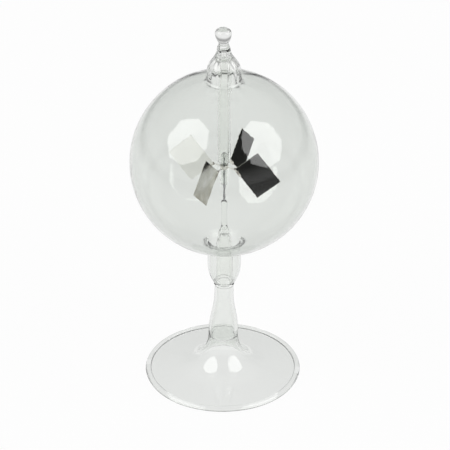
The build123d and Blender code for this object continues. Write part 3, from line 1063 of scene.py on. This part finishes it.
def floor_material(studio):
    """Pale floor, white in the picture, and greyer with distance where it lights the glass."""
    material = lit_material("pale_floor", (1, 1, 1), 1.0, 0.03)
    tree = material.node_tree
    start = {0: place_in(tree), 1: (0, studio.floor_back, 0)}
    behind = node(tree, "ShaderNodeVectorMath", start, operation="SUBTRACT").outputs[0]
    away = node(tree, "ShaderNodeVectorMath", {0: behind}, operation="LENGTH").outputs["Value"]
    ends = (studio.floor_near, studio.floor_end, studio.floor_shade, studio.floor_far)
    fall = ramped(tree, away, *ends, "SMOOTHSTEP")
    seen = node(tree, "ShaderNodeLightPath").outputs["Is Camera Ray"]
    shown = mixed(tree, seen, fall, studio.floor, "FLOAT")
    feed(tree.nodes["Principled BSDF"], {"Emission Strength": shown})
    return material


def softbox(name, direction, studio):
    """Eight-sided lamp that faces the bulb from the given direction."""
    bulb = np.array([0, 0, bulb_centre(bpy.context.scene.glass_form)])
    facing = np.array(direction, float)
    facing /= np.linalg.norm(facing)
    side = np.cross([0, 0, 1.0], facing)
    side /= np.linalg.norm(side)
    rise = np.cross(facing, side)
    turn = np.radians(360 / LAMP_SIDES * (np.arange(LAMP_SIDES) + 0.5))[:, None]
    radius = studio.lamp_size * studio.lamp_distance
    centre = bulb + facing * studio.lamp_distance
    corners = centre + radius * (np.cos(turn) * side + np.sin(turn) * rise)
    light = lit_material(name, (1, 1, 0.995), studio.lamp)
    linked(name, corners, [range(LAMP_SIDES)], light)


def surroundings(studio):
    """World light: bright near the floor all round, fading upwards, less so behind the object."""
    world = bpy.data.worlds.new("studio_surroundings")
    world.use_nodes = True
    bpy.context.scene.world = world
    tree = world.node_tree
    direction = node(tree, "ShaderNodeTexCoord").outputs["Generated"]
    _, depth, height = node(tree, "ShaderNodeSeparateXYZ", {0: direction}).outputs
    above = ramped(tree, depth, -0.4, 0.6, studio.front, studio.back, "SMOOTHSTEP")
    up = ramped(tree, height, 0.06, 0.4, kind="SMOOTHSTEP")
    light = mixed(tree, up, studio.horizon, above, "FLOAT")
    feed(tree.nodes["Background"], {"Strength": light, "Color": (1, 1, 1, 1)})


class RADIOMETER_OT_studio(bpy.types.Operator):
    """Build the floor, the two lamps, the surroundings and the camera"""

    bl_idname = "radiometer.studio"
    bl_label = "Studio"

    def execute(self, context):
        scene, studio = context.scene, context.scene.studio
        far = FLOOR_REACH
        corners = [(-far, -far, 0), (far, -far, 0), (far, far, 0), (-far, far, 0)]
        linked("floor", corners, [range(4)], floor_material(studio))
        softbox("softbox_left", (-0.691, -0.320, 0.646), studio)
        softbox("softbox_right", (0.719, -0.349, 0.598), studio)
        surroundings(studio)
        scene.view_settings.view_transform = "Standard"
        scene.cycles.max_bounces = GLASS_BOUNCES
        scene.cycles.transmission_bounces = GLASS_BOUNCES
        scene.cycles.glossy_bounces = GLOSSY_BOUNCES
        camera = bpy.data.cameras.new("camera")
        camera.lens, camera.sensor_width = studio.lens, studio.sensor
        camera.clip_start, camera.clip_end = 0.05, 60.0
        seat = bpy.data.objects.new("camera", camera)
        scene.collection.objects.link(seat)
        back = Vector((0, -np.cos(studio.elevation), np.sin(studio.elevation)))
        seat.location = Vector(studio.middle) + back * studio.distance
        seat.rotation_euler = (-back).to_track_quat("-Z", "Y").to_euler()
        scene.camera = seat
        return {"FINISHED"}


class RADIOMETER_PT_panel(bpy.types.Panel):
    """Lists the pieces of the radiometer"""

    bl_idname = "RADIOMETER_PT_panel"
    bl_label = "Radiometer"
    bl_space_type = "VIEW_3D"
    bl_region_type = "UI"
    bl_category = "Radiometer"

    def draw(self, context):
        for operator in OPERATORS:
            self.layout.operator(operator.bl_idname)
        for name in SETTINGS:
            box = self.layout.box()
            group = getattr(context.scene, name)
            for key in group.__annotations__:
                box.prop(group, key)


OPERATORS = (
    RADIOMETER_OT_glass_envelope,
    RADIOMETER_OT_cup,
    RADIOMETER_OT_silver_plates,
    RADIOMETER_OT_soot_coats,
    RADIOMETER_OT_clips,
    RADIOMETER_OT_needle,
    RADIOMETER_OT_metal_parts,
    RADIOMETER_OT_studio,
)
SETTINGS = {
    "glass_form": GlassForm,
    "glass_finish": GlassFinish,
    "rotor_form": RotorForm,
    "rotor_finish": RotorFinish,
    "studio": Studio,
}


def register():
    for name, group in SETTINGS.items():
        bpy.utils.register_class(group)
        setattr(bpy.types.Scene, name, PointerProperty(type=group))
    for shown in (*OPERATORS, RADIOMETER_PT_panel):
        bpy.utils.register_class(shown)


def unregister():
    for shown in (RADIOMETER_PT_panel, *reversed(OPERATORS)):
        bpy.utils.unregister_class(shown)
    for name, group in SETTINGS.items():
        delattr(bpy.types.Scene, name)
        bpy.utils.unregister_class(group)


def main():
    """Builds everything, in order."""
    register()
    bpy.ops.radiometer.glass_envelope()
    bpy.ops.radiometer.cup()
    bpy.ops.radiometer.silver_plates()
    bpy.ops.radiometer.soot_coats()
    bpy.ops.radiometer.clips()
    bpy.ops.radiometer.needle()
    bpy.ops.radiometer.metal_parts()
    bpy.ops.radiometer.studio()


if __name__ == "__main__":
    main()
